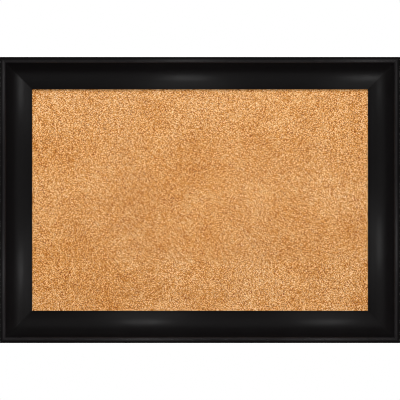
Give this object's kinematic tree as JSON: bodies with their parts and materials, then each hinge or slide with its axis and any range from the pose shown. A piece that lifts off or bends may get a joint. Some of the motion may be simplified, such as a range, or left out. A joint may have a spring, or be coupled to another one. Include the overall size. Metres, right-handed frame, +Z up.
{
  "type": "cork bulletin board",
  "caption": "Framed cork bulletin board: mitred scooped black moulding round a cork panel, with swinging D-ring hangers and rubber bumpers on its back.",
  "frame": {"origin": "middle of the wall plane, which the rear faces of the bumpers touch, at the centre of the board's width and height", "axes": "+X to the board's right seen from the front, +Y back into the wall, +Z up; the cork faces -Y"},
  "size_m": [0.7112, 0.0366, 0.508],
  "materials": {
    "frame_lacquer": "satin black lacquer over pine moulding",
    "cork": "natural agglomerated cork, fine granules, matt",
    "fibre_core": "soft fibreboard, matt",
    "hardboard": "brown hardboard, mesh-textured rear face",
    "fixing_steel": "bare pressed steel",
    "hanger_zinc": "bright zinc plate",
    "screw_zinc": "yellow zinc plate",
    "bumper_rubber": "black rubber, matt"
  },
  "bodies": {
    "board": {"rail_top": "frame_lacquer", "rail_bottom": "frame_lacquer", "rail_left": "frame_lacquer", "rail_right": "frame_lacquer", "cork_sheet": "cork", "fibre_core": "fibre_core", "back_board": "hardboard", "v_nail_top_left_outer": "fixing_steel", "v_nail_top_left_inner": "fixing_steel", "v_nail_top_right_outer": "fixing_steel", "v_nail_top_right_inner": "fixing_steel", "v_nail_bottom_left_outer": "fixing_steel", "v_nail_bottom_left_inner": "fixing_steel", "v_nail_bottom_right_outer": "fixing_steel", "v_nail_bottom_right_inner": "fixing_steel", "framers_point_top_1": "fixing_steel", "framers_point_top_2": "fixing_steel", "framers_point_top_3": "fixing_steel", "framers_point_top_4": "fixing_steel", "framers_point_right_1": "fixing_steel", "framers_point_right_2": "fixing_steel", "framers_point_right_3": "fixing_steel", "framers_point_bottom_1": "fixing_steel", "framers_point_bottom_2": "fixing_steel", "framers_point_bottom_3": "fixing_steel", "framers_point_bottom_4": "fixing_steel", "framers_point_left_1": "fixing_steel", "framers_point_left_2": "fixing_steel", "framers_point_left_3": "fixing_steel", "hanger_strap_left": "hanger_zinc", "hanger_screw_left_1": "screw_zinc", "hanger_screw_left_2": "screw_zinc", "wall_bumper_left": "bumper_rubber", "hanger_strap_right": "hanger_zinc", "hanger_screw_right_1": "screw_zinc", "hanger_screw_right_2": "screw_zinc", "wall_bumper_right": "bumper_rubber"},
    "ring_left": {"hanger_ring_left": "hanger_zinc"},
    "ring_right": {"hanger_ring_right": "hanger_zinc"}
  },
  "joints": [
    {"name": "ring_swing_left", "type": "hinge", "parent": "board", "child": "ring_left", "pos_m": [-0.3311, -0.0023, 0.08467], "axis": [-1, 0, 0], "range_deg": [0, 180]},
    {"name": "ring_swing_right", "type": "hinge", "parent": "board", "child": "ring_right", "pos_m": [0.3311, -0.0023, 0.08467], "axis": [-1, 0, 0], "range_deg": [0, 180]}
  ]
}
